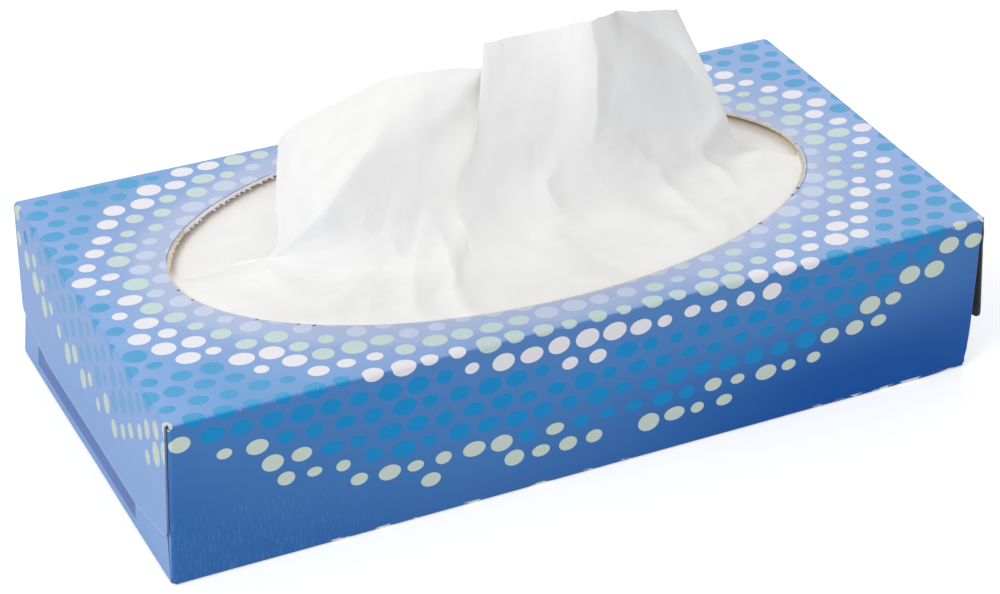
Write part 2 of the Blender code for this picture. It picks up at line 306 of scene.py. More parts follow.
class Blank:
    """The flat blank's faces. A corner is known by its u and v, and faces that meet share it."""

    def __init__(self, bend=math.pi / 2):
        self.mesh = bmesh.new()
        self.corners = {}
        self.bend = bend
        self.flat = self.mesh.loops.layers.uv.new("blank")

    def corner(self, u, v):
        key = (round(u / MM, 4), round(v / MM, 4))
        if key not in self.corners:
            self.corners[key] = self.mesh.verts.new(folded(u, v, self.bend))
        return self.corners[key]

    def face(self, points):
        """A face whose printed side looks outwards, whichever way round its points come."""
        turns = zip(points, points[1:] + points[:1])
        if sum(a[0] * b[1] - b[0] * a[1] for a, b in turns) > 0:
            points = points[::-1]
        face = self.mesh.faces.new([self.corner(u, v) for u, v in points])
        for loop, (u, v) in zip(face.loops, points):
            loop[self.flat].uv = (u / MM, v / MM)

    def net(self, rows):
        """Faces between rows of points, each row a list of (u, v)."""
        for low, high in zip(rows, rows[1:]):
            for i in range(len(low) - 1):
                self.face([low[i], low[i + 1], high[i + 1], high[i]])

    def finish(self, name, materials):
        """Thickens the sheet into board: print outside, bare board inside, the cut edge round it."""
        data = bpy.data.meshes.new(name)
        self.mesh.to_mesh(data)
        self.mesh.free()
        for material in materials:
            data.materials.append(material)
        piece = put(name, data)
        wall = piece.modifiers.new("thickness", "SOLIDIFY")
        wall.thickness, wall.offset, wall.use_even_offset = board, 0, True
        wall.material_offset, wall.material_offset_rim = 1, 2
        return plain(piece)


def plain(piece):
    """Turns what a piece's modifiers make into its own plain mesh."""
    data = bpy.data.meshes.new_from_object(piece.evaluated_get(bpy.context.evaluated_depsgraph_get()))
    piece.modifiers.clear()
    piece.data = data
    data.shade_smooth()
    data.set_sharp_from_angle(angle=math.radians(40))
    return piece


crease_shares = shares(6)
u_stations = [side_end * (2 * s - 1) for s in shares(116)]


def v_stations(panel):
    low, high = span(panel)
    inner = [mix(low + relief, high - relief, s) for s in shares(44 if panel == "top" else 20)]
    corners = [low + relief + c * MM for c in (0.2, 0.6, 1.2, 2)]
    corners += [high - relief - c * MM for c in (0.2, 0.6, 1.2, 2)]
    return sorted({round(v, 9) for v in [low, high, *inner, *corners]})


top_low, top_high = span("top")
opening_v = top_low + width / 2 - corner_reach - opening_y


def top_with_opening(blank):
    """The top panel, in rings that go from its outline to the opening's rim."""
    end = end_fold["top"]
    stations = v_stations("top")
    along = [-end, *u_stations, end]
    outline = [(u, top_low) for u in along[:-1]]
    outline += [(end, v) for v in stations[:-1]]
    outline += [(u, top_high) for u in reversed(along[1:])]
    outline += [(-end, v) for v in reversed(stations[1:])]
    rings = []
    for s in shares(10):
        ring = []
        for u, v in outline:
            angle = math.atan2((v - opening_v) / opening_half_y, u / opening_half_x)
            rim_u = opening_half_x * math.cos(angle)
            rim_v = opening_v + opening_half_y * math.sin(angle)
            ring.append((mix(u, rim_u, s), mix(v, rim_v, s)))
        rings.append(ring + ring[:1])
    blank.net(rings)


def end_crease(blank, panel, side, bend=math.pi / 2):
    stations = v_stations(panel)[1:-1]
    us = [side * (end_fold[panel] + bend * crease_radius * s) for s in crease_shares]
    blank.net([[(u, v) for v in stations] for u in us])


def end_flap(blank, panel, side, reach_at, bend=math.pi / 2, taper=0.0):
    """An end flap beyond its crease. reach_at gives how far it goes at each distance across."""
    middle = sum(span(panel)) / 2
    start = end_fold[panel] + bend * crease_radius
    rows = []
    for s in shares(14):
        row = []
        for v in v_stations(panel)[1:-1]:
            across = v - middle
            down = reach_at(across) * s
            row.append((side * (start + down), middle + across * (1 - taper * down)))
        rows.append(row)
    blank.net(rows)


flap_rounding, flap_rise, flap_run = 2 * MM, 4.5 * MM, 21 * MM


def outer_reach(across):
    """The outer flap's lower edge: rounded at its corners, then slanting to its full reach."""
    half = (top_high - top_low) / 2 - relief
    inside = half - abs(across)
    if inside >= flap_run:
        return outer_flap_reach
    slant = outer_flap_reach - flap_rise * (1 - inside / flap_run)
    if inside < flap_rounding:
        slant -= flap_rounding - math.sqrt(max(flap_rounding**2 - (flap_rounding - inside) ** 2, 0))
    return slant


def rectangle(blank, us, vs):
    blank.net([[(u, v) for u in us] for v in vs])


def long_crease(blank, v, us, past_ends=False):
    """A crease along the box. Beside the top it goes on past both ends, to where the top folds."""
    vs = [v + crease_run * s for s in crease_shares]
    rectangle(blank, us, vs)
    for side in (-1, 1) if past_ends else ():
        rectangle(blank, sorted((side * side_end, side * end_fold["top"])), vs)


def carton_sheet():
    blank = Blank()
    rectangle(blank, u_stations, v_stations("back"))
    long_crease(blank, span("back")[1], u_stations, past_ends=True)
    top_with_opening(blank)
    long_crease(blank, top_high, u_stations, past_ends=True)
    rectangle(blank, u_stations, v_stations("front"))
    long_crease(blank, span("front")[1], u_stations)
    bottom_us = [-end_fold["bottom"], *u_stations, end_fold["bottom"]]
    rectangle(blank, bottom_us, v_stations("bottom"))
    seam_us = [seam_end * (2 * s - 1) for s in shares(40)]
    long_crease(blank, span("bottom")[1], seam_us)
    rectangle(blank, seam_us, [mix(*span("seam"), s) for s in shares(3)])
    for side in (-1, 1):
        for panel in ("front", "back"):
            end_crease(blank, panel, side)
            end_flap(blank, panel, side, lambda across: dust_flap_reach, taper=2.6)
        end_crease(blank, "bottom", side)
        end_flap(blank, "bottom", side, lambda across: bottom_flap_reach, taper=2.4)
    end_crease(blank, "top", -1)
    end_flap(blank, "top", -1, outer_reach)
    return blank


def between(value, start, end, low=0, high=1):
    """Runs smoothly from low to high as value goes from start to end."""
    inputs = {0: value, 1: start, 2: end, 3: low, 4: high}
    return wire(value.tree, "ShaderNodeMapRange", inputs, interpolation_type="SMOOTHSTEP")


def split(whole, kind="ShaderNodeSeparateXYZ"):
    """The three numbers of a place or a colour."""
    return [Wire(output) for output in add_node(whole.tree, kind, {0: whole}).outputs]


def join(tree, x=0, y=0, z=0):
    return wire(tree, "ShaderNodeCombineXYZ", {0: x, 1: y, 2: z})


def blend_colours(share, first, second):
    return wire(share.tree, "ShaderNodeMix", {0: share, 6: first, 7: second}, 2, data_type="RGBA")


def stops(value, steps, interpolation="LINEAR"):
    """A colour that goes through the steps, each a place from 0 to 1 and a colour."""
    node = add_node(value.tree, "ShaderNodeValToRGB", {0: value})
    ramp = node.color_ramp
    ramp.interpolation = interpolation
    while len(ramp.elements) < len(steps):
        ramp.elements.new(1)
    for element, (place, shade) in zip(ramp.elements, steps):
        element.position = place
        element.color = colour(shade)
    return Wire(node.outputs[0])


def mottle(place, scale, detail, roughness=0.5, stretch=None):
    """Soft noise over a place, which stretch scales first."""
    if stretch:
        place = wire(place.tree, "ShaderNodeMapping", {"Vector": place, "Scale": stretch})
    inputs = {"Vector": place, "Scale": scale, "Detail": detail, "Roughness": roughness}
    return wire(place.tree, "ShaderNodeTexNoise", inputs)


def raise_surface(shader, height, strength, distance):
    inputs = {"Strength": strength, "Distance": distance, "Height": height}
    set_inputs(shader, {"Normal": wire(height.tree, "ShaderNodeBump", inputs)})


def opening_distance():
    """How far outside the opening's rim a point of the blank is, in millimetres."""
    group = bpy.data.node_groups.new("opening_distance", "ShaderNodeTree")
    for name, way in (("Across", "INPUT"), ("Down", "INPUT"), ("Distance", "OUTPUT")):
        group.interface.new_socket(name, in_out=way, socket_type="NodeSocketFloat")
    across, down, _ = (Wire(output) for output in group.nodes.new("NodeGroupInput").outputs)
    rings = []
    for power in (1, 2):
        part_x = across / (opening_half_x / MM) ** power
        part_y = down / (opening_half_y / MM) ** power
        rings.append(reckon("SQRT", part_x * part_x + part_y * part_y))
    add_node(group, "NodeGroupOutput", {"Distance": (rings[0] - 1) * rings[0] / rings[1]})
    return group


distance_group = opening_distance()


def distance_at(across, down):
    inputs = {"Across": across, "Down": down}
    return wire(across.tree, "ShaderNodeGroup", inputs, node_tree=distance_group)


dot_pitch_u, dot_pitch_v = 7.7, 6.1
dot_radius, dot_radius_range = 1.9, 1.45
dot_flatness, dot_flatness_range = 0.68, 0.2
pale_dots_start, pale_dots_end, dots_end = 21.6, 42, 49


def printed_board():
    """The varnished print: blue fields that deepen away from the opening, and rows of plain dots."""
    material, tree, shader = new_material("printed_board", 0.34)
    blank_place = wire(tree, "ShaderNodeUVMap", uv_map="blank")
    u, v, _ = split(blank_place)
    down = v - opening_v / MM
    distance = distance_at(u, down)

    field = (distance + (mottle(blank_place, 0.035, 2) * 12 - 6)) / 100
    ground = stops(field, (
        (0, "ADBBDC"), (0.06, "A6B8DC"), (0.10, "8EAAD8"), (0.15, "83A4D7"), (0.24, "70A0D6"),
        (0.46, "5B95D2"),
    ))
    ground = blend_colours(between(u, -10, 95, 0, 0.4), ground, "A2B6E0")
    ground = blend_colours(between(abs(u), 92, 122, 0, 0.85), ground, "8CAEE4")
    front_ground = stops(field, (
        (0, "7093CA"), (0.12, "5483C2"), (0.24, "4B82C3"), (0.46, "4179BB"), (0.66, "306BB2"),
    ))
    on_front = between(v, (top_high + crease_run * 0.3) / MM, (top_high + crease_run * 0.65) / MM)
    on_front = on_front * (1 - (abs(u) > (end_fold["front"] + crease_run) / MM))
    ground = blend_colours(on_front, ground, front_ground)
    foot = span("front")[1] / MM
    deep = between(v, foot - 32, foot - 6) * between(u, -30, 85) * (v < foot + 3)
    ground = blend_colours(deep, ground, "0054A8")
    streaks = mottle(blank_place, 1, 3, stretch=(1.7, 0.3, 1))
    low_left = between(v, foot - 26, foot - 12) * between(u, -40, -90)
    ground = blend_colours(between(streaks, 0.48, 0.7, 0, 0.2) * low_left, ground, "6FA0D6")

    bottom_middle = sum(span("bottom")) / 2 / MM
    bar_foot = -(end_fold["bottom"] + crease_run - corner_reach) / MM
    bar = 1
    for place, start, end in (
        (u, bar_foot - 3.2, bar_foot - 3.5), (u, bar_foot - 9.2, bar_foot - 8.9),
        (v, bottom_middle - 31.6, bottom_middle - 31.2), (v, bottom_middle + 45, bottom_middle + 44.6),
    ):
        bar = between(place, start, end) * bar
    ground = blend_colours(bar, ground, "5479BC")

    # A pale line along the outer end flaps' lower edge: partly the whitish cut of the board, partly a painted
    # highlight where the edge catches the light.
    inside = ((top_high - top_low) / 2 - relief) / MM - abs(v - (top_low + top_high) / 2 / MM)
    short = reckon("MAXIMUM", inside * (-flap_rise / flap_run) + flap_rise / MM, 0)
    to_edge = (end_fold["top"] + crease_run + outer_flap_reach) / MM - short - abs(u)
    pale_cut_and_highlight = between(to_edge, 0.5, 0.25, 0, 0.5) * between(to_edge, -0.4, -0.2) * (inside > 0)
    ground = blend_colours(pale_cut_and_highlight, ground, "CDD9F0")

    row_place = down / dot_pitch_v
    row = reckon("FLOOR", row_place)
    column_place = reckon("FLOORED_MODULO", row, 2) * 0.5 + u / dot_pitch_u
    column = reckon("FLOOR", column_place)
    cell = {"Vector": join(tree, column, row)}
    chance = add_node(tree, "ShaderNodeTexWhiteNoise", cell, noise_dimensions="2D")
    dice = split(Wire(chance.outputs["Color"]), "ShaderNodeSeparateColor")
    from_u = (column_place - column - 0.5) * dot_pitch_u - (dice[0] * 1.2 - 0.6)
    from_v = (row_place - row - 0.5) * dot_pitch_v - (dice[1] - 0.5)
    radius = Wire(chance.outputs["Value"]) * dot_radius_range + dot_radius
    over_u = from_u / radius
    over_v = from_v / (radius * (dice[2] * dot_flatness_range + dot_flatness))
    dot = between(reckon("SQRT", over_u * over_u + over_v * over_v), 1.03, 0.97)
    centre = distance_at(u - from_u, down - from_v) + (dice[1] * 4 - 2)
    dot_colour = stops(centre / 60, (
        (0, "C3CEE6"), (0.09, "C3D6D6"), (0.22, "E8E7EE"), (0.36, "008ACD"), (0.70, "CAD8CE"),
    ), "CONSTANT")
    pale = (centre > pale_dots_start) * (centre < pale_dots_end) * (1 - on_front)
    pale_blue = blend_colours(between(abs(u), 110, 120), "3A9BD2", "68A6DC")
    dot_colour = blend_colours(pale, dot_colour, pale_blue)
    ink = blend_colours(dot * (centre < dots_end), ground, dot_colour)

    fold_lines = (top_low - crease_run / 2, top_high + crease_run / 2, foot * MM + crease_run / 2)
    back_edge, front_edge, low_edge = (abs(v - line / MM) for line in fold_lines)
    nearest = abs(abs(u) - (end_fold["top"] + crease_run / 2) / MM)
    for edge in (back_edge, front_edge, low_edge):
        nearest = reckon("MINIMUM", nearest, edge)
    flecks = mottle(blank_place, 0.9, 4, 0.7)
    rubbed = between(nearest, 0.5, 0.2) * between(flecks, 0.62, 0.68)
    chips = mottle(blank_place, 1, 4, stretch=(0.16, 0.7, 1))
    worn_end = between(u, 64, 72) * between(u, 108, 102)
    chipped = between(low_edge, 0.9, 0.6) * between(chips, 0.50, 0.53) * worn_end
    worn_low = between(u, -86, -80) * between(u, 14, 8)
    scuffed = between(low_edge, 0.7, 0.5) * between(chips, 0.57, 0.59) * worn_low
    ink = blend_colours(rubbed * 0.6, ink, "D5DDEB")
    ink = blend_colours(reckon("MAXIMUM", chipped, scuffed), ink, "E9EBE6")

    angle = reckon("ARCTAN2", down, u)
    left_part = reckon("MINIMUM", between(angle, -2.2, -2.5), between(angle, -3.05, -3.01))
    right_part = reckon("MINIMUM", between(angle, 0.38, 0.32), between(angle, 0, 0.06))
    # The score line round the far left and right of the opening is a fine groove, pressed into the surface as
    # a bump; its dark line is painted shade in the groove.
    line_away = abs(distance - (right_part * 0.7 + 0.2))
    score_groove_and_shade = between(line_away, 0.2, 0.1) * reckon("MAXIMUM", left_part, right_part)
    nicks = wire(tree, "ShaderNodeTexNoise", {"W": angle * 9, "Detail": 0}, noise_dimensions="1D")
    nick = between(nicks, 0.77, 0.78) * between(distance, 0.9, 0.6) * (down > 0) * (abs(u) > 55)
    peel = between(distance, 0.8, 0.4) * between(flecks, 0.42, 0.50) * (1 - left_part)
    peel = peel * between(u, -60, 0, 0.35, 1)
    ink = blend_colours(peel, ink, "D5D0C6")
    ink = blend_colours(nick, ink, "5B5348")
    ink = blend_colours(score_groove_and_shade * 0.75, ink, "57607F")

    grain = mottle(blank_place, 1, 5, 0.65, stretch=(1.6, 0.28, 1))
    roughness = peel * 0.4 + (grain * 0.16 + 0.25)
    set_inputs(shader, {"Base Color": ink, "Specular IOR Level": 0.22, "Roughness": roughness})
    raise_surface(shader, grain - score_groove_and_shade * 6, 0.22, 0.05 * MM)
    return material


def bare_board(name, shade, dark):
    """Unprinted board: short grey and brown fibres, matt."""
    material, tree, shader = new_material(name, 0.85)
    place = wire(tree, "ShaderNodeTexCoord", output="Object")
    fibres = mottle(place, 900, 4, 0.7)
    share = mottle(place, 60, 2) * 0.5 + fibres * 0.5
    set_inputs(shader, {"Base Color": stops(share, ((0.32, dark), (0.62, shade)))})
    raise_surface(shader, fibres, 0.3, 0.06 * MM)
    return material


print_material = printed_board()
carton = carton_sheet().finish("folded_carton", (
    print_material,
    bare_board("inside_of_board", "DCC7AC", "B9A183"),
    bare_board("cut_edge", "E8E4D6", "BDB7A6"),
    bare_board("dusty_edge", "7488B4", "5B6C94"),
))
cut_edge_slot, dusty_edge_slot, dusty_ends = 2, 3, 4 * MM
for face in carton.data.polygons:
    if face.material_index == cut_edge_slot and abs(face.center.x) > length / 2 - dusty_ends:
        face.material_index = dusty_edge_slot
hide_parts("carton")
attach(carton, "box")

# The right end's outer flap: part of the same sheet, but never glued. Its crease has sprung a
# little, so it hangs a few degrees open and shows its inner side, darkened by painted shade.
rest_swing = math.radians(4.5)
loose_bend = math.pi / 2 - rest_swing
flap_blank = Blank(bend=loose_bend)
end_crease(flap_blank, "top", 1, loose_bend)
end_flap(flap_blank, "top", 1, outer_reach, loose_bend)
# The loose flap's inner side is the carton's own board, coloured dark grey here as painted shade for the
# narrow gap it hangs over.
loose_inside_painted_shade = bare_board("inside_of_loose_flap_painted_shade", "6A655F", "4B4843")
# The loose flap's cut edge is coloured dark blue-grey: painted shade for the dark slit between the flap and
# the front panel.
edge_in_painted_shade = bare_board("edge_in_painted_shade", "4E5A78", "343C52")
loose_flap = flap_blank.finish("loose_end_flap", (print_material, loose_inside_painted_shade, edge_in_painted_shade))
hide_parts("end_flap")
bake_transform(loose_flap)

# The torn rim: where the oval was pushed out, a narrow strip of board is left inside the cut on
# the far left and at the right tip. Its edge is ragged, and the short bridges between the cuts of
# the perforation stand along it as small teeth of white fibre.
nib_pitch, nib_length, nib_width = 2.1 * MM, 0.8 * MM, 0.9 * MM
torn_start, torn_end, nib_start, nib_end = (math.radians(a) for a in (-32, 174, 70, 150))
torn_widths = (
    (-32, 0.1), (-24, 0.25), (0, 0.3), (24, 0.3), (40, 0.2), (90, 0.3),
    (120, 0.6), (135, 0.8), (150, 0.9), (165, 1.1), (170, 0.9), (174, 0.1),
)
yellowed_left, yellowed_right = -79 * MM, 0
nib_board, strip_board = 0.42 * MM, 0.44 * MM


def new_geometry_tree(name, numbers):
    """A geometry node tree with a named input for each size, its material and its result."""
    tree = bpy.data.node_groups.new(name, "GeometryNodeTree")
    kinds = {key: "Int" if isinstance(value, int) else "Float" for key, value in numbers.items()}
    for key, kind in {"Geometry": "Geometry", **kinds, "Material": "Material"}.items():
        tree.interface.new_socket(key, in_out="INPUT", socket_type="NodeSocket" + kind)
    tree.interface.new_socket("Geometry", in_out="OUTPUT", socket_type="NodeSocketGeometry")
    return tree, {one.name: Wire(one) for one in tree.nodes.new("NodeGroupInput").outputs}


def grow(name, tree, base, numbers, material):
    """Runs a tree on a base mesh, with its sizes set, and keeps the result as a plain mesh."""
    piece = put(name, base)
    growth = piece.modifiers.new("growth", "NODES")
    growth.node_group = tree
    for item in tree.interface.items_tree:
        if item.in_out == "INPUT" and item.name in numbers:
            growth[item.identifier] = numbers[item.name]
        elif item.in_out == "INPUT" and item.name == "Material":
            growth[item.identifier] = material
    return plain(piece)


def close_tree(geometry, material):
    """Ends a tree: real geometry instead of instances, with its material."""
    real = wire(geometry.tree, "GeometryNodeRealizeInstances", {0: geometry})
    dressed = wire(geometry.tree, "GeometryNodeSetMaterial", {"Geometry": real, "Material": material})
    add_node(geometry.tree, "NodeGroupOutput", {0: dressed})


def cube(size, x, y, z):
    """A cube of x, y and z corners along its sides."""
    corners = {"Size": size, "Vertices X": x, "Vertices Y": y, "Vertices Z": z}
    return wire(size.tree, "GeometryNodeMeshCube", corners)


def shifted(geometry, **how):
    return wire(geometry.tree, "GeometryNodeSetPosition", {"Geometry": geometry, **how})


def drawn(tree, seed, inputs, output, kind):
    """A random value for each point, from the inputs of its kind."""
    inputs = {**inputs, "Seed": seed}
    return wire(tree, "FunctionNodeRandomValue", inputs, output, data_type=kind)


def nib_tree(numbers):
    tree, given = new_geometry_tree("torn_nibs", numbers)
    seed = given["Seed"]
    path = {"Curve": wire(tree, "GeometryNodeMeshToCurve", {0: given["Geometry"]}), "Length": given["Pitch"]}
    spots = add_node(tree, "GeometryNodeCurveToPoints", path, mode="LENGTH")
    way_x, way_y, _ = split(Wire(spots.outputs["Tangent"]))
    kept = drawn(tree, seed, {"Probability": 0.92}, 3, "BOOLEAN")
    some = wire(tree, "GeometryNodeDeleteGeometry", {
        "Geometry": Wire(spots.outputs["Points"]),
        "Selection": wire(tree, "FunctionNodeBooleanMath", {0: kept}, operation="NOT"),
    })
    slab = cube(join(tree, given["Nib width"], given["Nib length"], given["Board"]), 4, 4, 2)
    x, y, z = split(wire(tree, "GeometryNodeInputPosition"))
    along = y / given["Nib length"]
    narrow, thin = along * -0.75 + 0.6, along * -0.4 + 0.8
    tooth = shifted(slab, Position=join(tree, x * narrow, given["Nib length"] * 0.3 + y, z * thin))
    droop = drawn(tree, seed, {2: -0.5, 3: 0.25}, 1, "FLOAT")
    skew = drawn(tree, 5, {2: -0.2, 3: 0.2}, 1, "FLOAT")
    teeth = wire(tree, "GeometryNodeInstanceOnPoints", {
        "Points": some, "Instance": tooth,
        "Rotation": join(tree, droop, z=reckon("ARCTAN2", way_y, way_x) + skew),
        "Scale": drawn(tree, 9, {0: (0.7, 0.6, 0.8), 1: (1.2, 1.4, 1.0)}, 0, "FLOAT_VECTOR"),
    })
    close_tree(teeth, given["Material"])
    return tree


def torn_edge(angle, share):
    """A place on the torn strip: share 0 is the cut edge of the oval, 1 the strip's own ragged edge."""
    width_here = float(numpy.interp(math.degrees(angle), *zip(*torn_widths))) * MM
    coarse, fine = noise.noise(Vector((angle * 40, 1, 2))), noise.noise(Vector((angle * 120, 4, 2)))
    inward = width_here * (1 + 0.5 * coarse + 0.35 * fine) * share
    x = (opening_half_x - inward) * math.cos(angle)
    y = opening_y + (opening_half_y - inward) * math.sin(angle)
    return handled(Vector((x, y, height - board / 2 - 0.25 * inward)))


torn_angles = [mix(torn_start, torn_end, s) for s in shares(700)]


def rim_line():
    """The strip's ragged edge, where it carries teeth."""
    data = bpy.data.meshes.new("rim_line")
    spots = [torn_edge(angle, 1) for angle in torn_angles if nib_start < angle < nib_end]
    data.from_pydata(spots, [(i, i + 1) for i in range(len(spots) - 1)], [])
    return data


def torn_strip(material, yellowed):
    """The strip itself, from just outside the cut edge to its ragged edge."""
    rows = [[torn_edge(angle, share) for angle in torn_angles] for share in (0, 0.5, 1)]
    count = len(torn_angles)
    corners = [
        (r * count + c, r * count + c + 1, (r + 1) * count + c + 1, (r + 1) * count + c)
        for r in range(2) for c in range(count - 1)
    ]
    data = bpy.data.meshes.new("torn_strip")
    data.from_pydata([place for row in rows for place in row], [], corners)
    for one in (material, yellowed):
        data.materials.append(one)
    for face in data.polygons:
        face.material_index = not yellowed_left < face.center.x < yellowed_right
    strip = put("torn_strip", data)
    wall = strip.modifiers.new("thickness", "SOLIDIFY")
    wall.thickness, wall.offset = strip_board, 0
    return plain(strip)


nib_numbers = {
    "Pitch": nib_pitch, "Nib length": nib_length, "Nib width": nib_width, "Board": nib_board, "Seed": 4,
}
torn_material = bare_board("torn_fibre", "EBE8F2", "D3CCD0")
torn_nibs = grow("torn_nibs", nib_tree(nib_numbers), rim_line(), nib_numbers, torn_material)
yellowed_material = bare_board("yellowed_fibre", "E9DFCB", "C4B69C")
for piece in (torn_nibs, torn_strip(torn_material, yellowed_material)):
    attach(piece, "box")

# The pile: two-ply tissues, folded and laid in one another, pressed together in the box. It is
# a little lower at its back, where tissues have been pulled away, and its corners have slumped.
inside_x, inside_y = length / 2 - board - 2 * lap, width / 2 - board - lap
pile_half_x, pile_half_y = inside_x - 8 * MM, inside_y - 2.7 * MM
pile_foot = board + 0.3 * MM
pile_middle, pile_front, pile_back = (height - board - h * MM for h in (2.9, 5.9, 2.1))
pile_corner, pile_corner_drop = 6 * MM, 1 * MM


def pile_top(y):
    """The pile's upper face: highest along its middle, where the tissues are pulled from."""
    share = min(max(y / pile_half_y, -1), 1)
    edge = pile_back if share > 0 else pile_front
    return mix(pile_middle, edge, (1 - math.cos(math.pi * share)) / 2)


def pile_tree(numbers):
    tree, given = new_geometry_tree("tissue_leaves", numbers)
    pitch, thickness, middle = given["Leaf pitch"], given["Leaf thickness"], given["Middle height"]
    stack = wire(tree, "GeometryNodeMeshLine", {
        "Count": given["Leaves"], "Start Location": join(tree, z=pitch * 0.5), "Offset": join(tree, z=pitch),
    })
    leaf = cube(join(tree, given["Half length"] * 2, given["Half width"] * 2, thickness), 24, 14, 3)
    x, y, z = split(wire(tree, "GeometryNodeInputPosition"))
    off_middle = abs(z) > thickness * 0.2
    pulled_in = [
        (abs(place) > given[half] * 0.999) * off_middle * (reckon("SIGN", place) * (thickness * -0.5))
        for place, half in ((x, "Half length"), (y, "Half width"))
    ]
    rounded = shifted(leaf, Offset=join(tree, *pulled_in))
    play = join(tree, given["Play"], given["Play"])
    back = wire(tree, "ShaderNodeVectorMath", {0: play, "Scale": -1}, operation="SCALE")
    uneven = shifted(stack, Offset=drawn(tree, given["Seed"], {0: back, 1: play}, 0, "FLOAT_VECTOR"))
    leaves = wire(tree, "GeometryNodeInstanceOnPoints", {"Points": uneven, "Instance": rounded})
    real = wire(tree, "GeometryNodeRealizeInstances", {0: leaves})

    x, y, z = split(wire(tree, "GeometryNodeInputPosition"))
    side = y / given["Half width"]
    bow = reckon("COSINE", side * math.pi) * -0.5 + 0.5
    edge_height = given["Front height"] + (side > 0) * (given["Back height"] - given["Front height"])
    past = reckon("MAXIMUM", abs(x) - (given["Half length"] - given["Corner"]), 0) / given["Corner"]
    full = bow * (edge_height - middle) + middle - past * past * given["Corner drop"] - given["Foot"]
    raised = z / (given["Leaves"] * pitch) * full + given["Foot"]
    close_tree(shifted(real, Position=join(tree, x, y, raised)), given["Material"])
    return tree


def tissue_paper(name, uv_map=None):
    """Soft two-ply tissue: white, matt, finely creped across, with short fibres."""
    material, tree, shader = new_material(name, 0.95)
    on_piece = wire(tree, "ShaderNodeTexCoord", output="Object")
    place = wire(tree, "ShaderNodeUVMap", uv_map=uv_map) if uv_map else on_piece
    fibres = mottle(place, 1600, 3, 0.6)
    crepe = mottle(place, 1, 2, stretch=(350, 1400, 1400))
    white, soft_white = (0.925, 0.921, 0.916, 1), (0.889, 0.884, 0.878, 1)
    tint = stops(mottle(place, 120, 3), ((0.3, soft_white), (0.7, white)))
    # Within 7 mm inside the opening's rim and below the board, the tissue is tinted warm beige: painted
    # shade, warmed as if by light bounced off the board above it.
    x, y, z = split(on_piece)
    from_rim = distance_at(x * (1 / MM), y * (1 / MM) - opening_y / MM)
    painted_rim_shade = between(from_rim, -7, 0) * between(z, height, height - 2 * MM)
    tint = blend_colours(painted_rim_shade, tint, (0.94, 0.885, 0.825, 1))
    set_inputs(shader, {"Base Color": tint, "Specular IOR Level": 0.2})
    raise_surface(shader, fibres * 0.5 + crepe, 0.25, 0.05 * MM)
    return material


pile_numbers = {
    "Half length": pile_half_x - 0.6 * MM, "Half width": pile_half_y - 0.6 * MM, "Leaves": 60,
    "Leaf pitch": 0.68 * MM, "Leaf thickness": 0.56 * MM, "Play": 0.5 * MM, "Foot": pile_foot,
    "Middle height": pile_middle, "Front height": pile_front, "Back height": pile_back,
    "Corner": pile_corner, "Corner drop": pile_corner_drop, "Seed": 2,
}
pile_base = bpy.data.meshes.new("folded_tissues")
pile_paper = tissue_paper("pile_paper")
pile = grow("folded_tissues", pile_tree(pile_numbers), pile_base, pile_numbers, pile_paper)
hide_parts("tissue_pile")
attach(pile, "box")

# The pulled tissue: the top two-ply tissue. Its upper half has been drawn up through the opening
# and stands there as fingers left it, creased and pleated. Its lower half is still folded on the
# pile. It is one soft sheet, shaped by rows of knots and then by each crease that shows.
sheet_thickness, fold_radius = 0.4 * MM, 0.6 * MM
sheet_rest = 0.3 * MM + sheet_thickness / 2
sheet_half = pile_half_x - 2 * MM
sheet_front, sheet_back = -(pile_half_y - fold_radius), pile_half_y - 4 * MM
rim_tucks = ((-1.2 * MM, sheet_rest), (3 * MM, sheet_rest + sheet_thickness))
rim_angles = (math.radians(168.6), math.radians(350.6))
ridge_drop, crumple_depth, fray_depth = (d * MM for d in (0.4, 0.22, 0.35))
standing_knots = (
    (
        (-54.3, 18.8, 70.9), (-49.6, 17, 76.1), (-27.9, 12.8, 85.5), (-16.9, 4.7, 90.3),
        (1.2, 4.6, 88), (-3.9, 2.5, 96.1), (13.4, 0.8, 97.3), (22.8, -3.5, 100.4),
        (33.2, -2, 99.5), (44.6, 2.5, 95.5), (54.1, 5.5, 92.7),
    ),
    (
        (-60.1, 7.2, 61.8), (-55.3, 1.8, 66.6), (-43.7, -2.1, 72.7), (-25.7, -2.5, 74.6),
        (-5, -0.8, 75.5), (-12.1, -9.8, 77), (8.1, -6.4, 76.8), (22.2, -7.3, 78.4),
        (35.6, -6.4, 78.5), (52.3, -1, 74.7), (62.9, 1.4, 72.8),
    ),
    (
        (-64.1, -1.9, 52.2), (-57.6, -5.6, 54.5), (-46.8, -11.1, 58.3), (-31.4, -12.9, 59.1),
        (-11.8, -9.2, 59.5), (-18.4, -13.9, 59.3), (2.4, -12.7, 58.5), (20.3, -12.6, 59.2),
        (38.6, -10.4, 56.2), (59.8, -3.5, 51.4), (73, 0.7, 49.5),
    ),
    (
        (-73.9, 6, 46.5), (-68.8, -4.3, 46.5), (-56.8, -12.1, 46.3), (-38, -19.6, 47.4),
        (-25.1, -22.9, 48.4), (-13.8, -23.5, 47.8), (7.2, -25.4, 48.6), (30, -21.6, 46.4),
        (51.5, -17.9, 46.9), (70.4, -11.7, 47.7), (82.2, -0.2, 46.2),
    ),
)
knot_count = len(standing_knots[0])
turn_column, turn_spread_left, turn_spread_right = 5, 0.85, 0.45
column_length, row_length = 21 * MM, 20 * MM
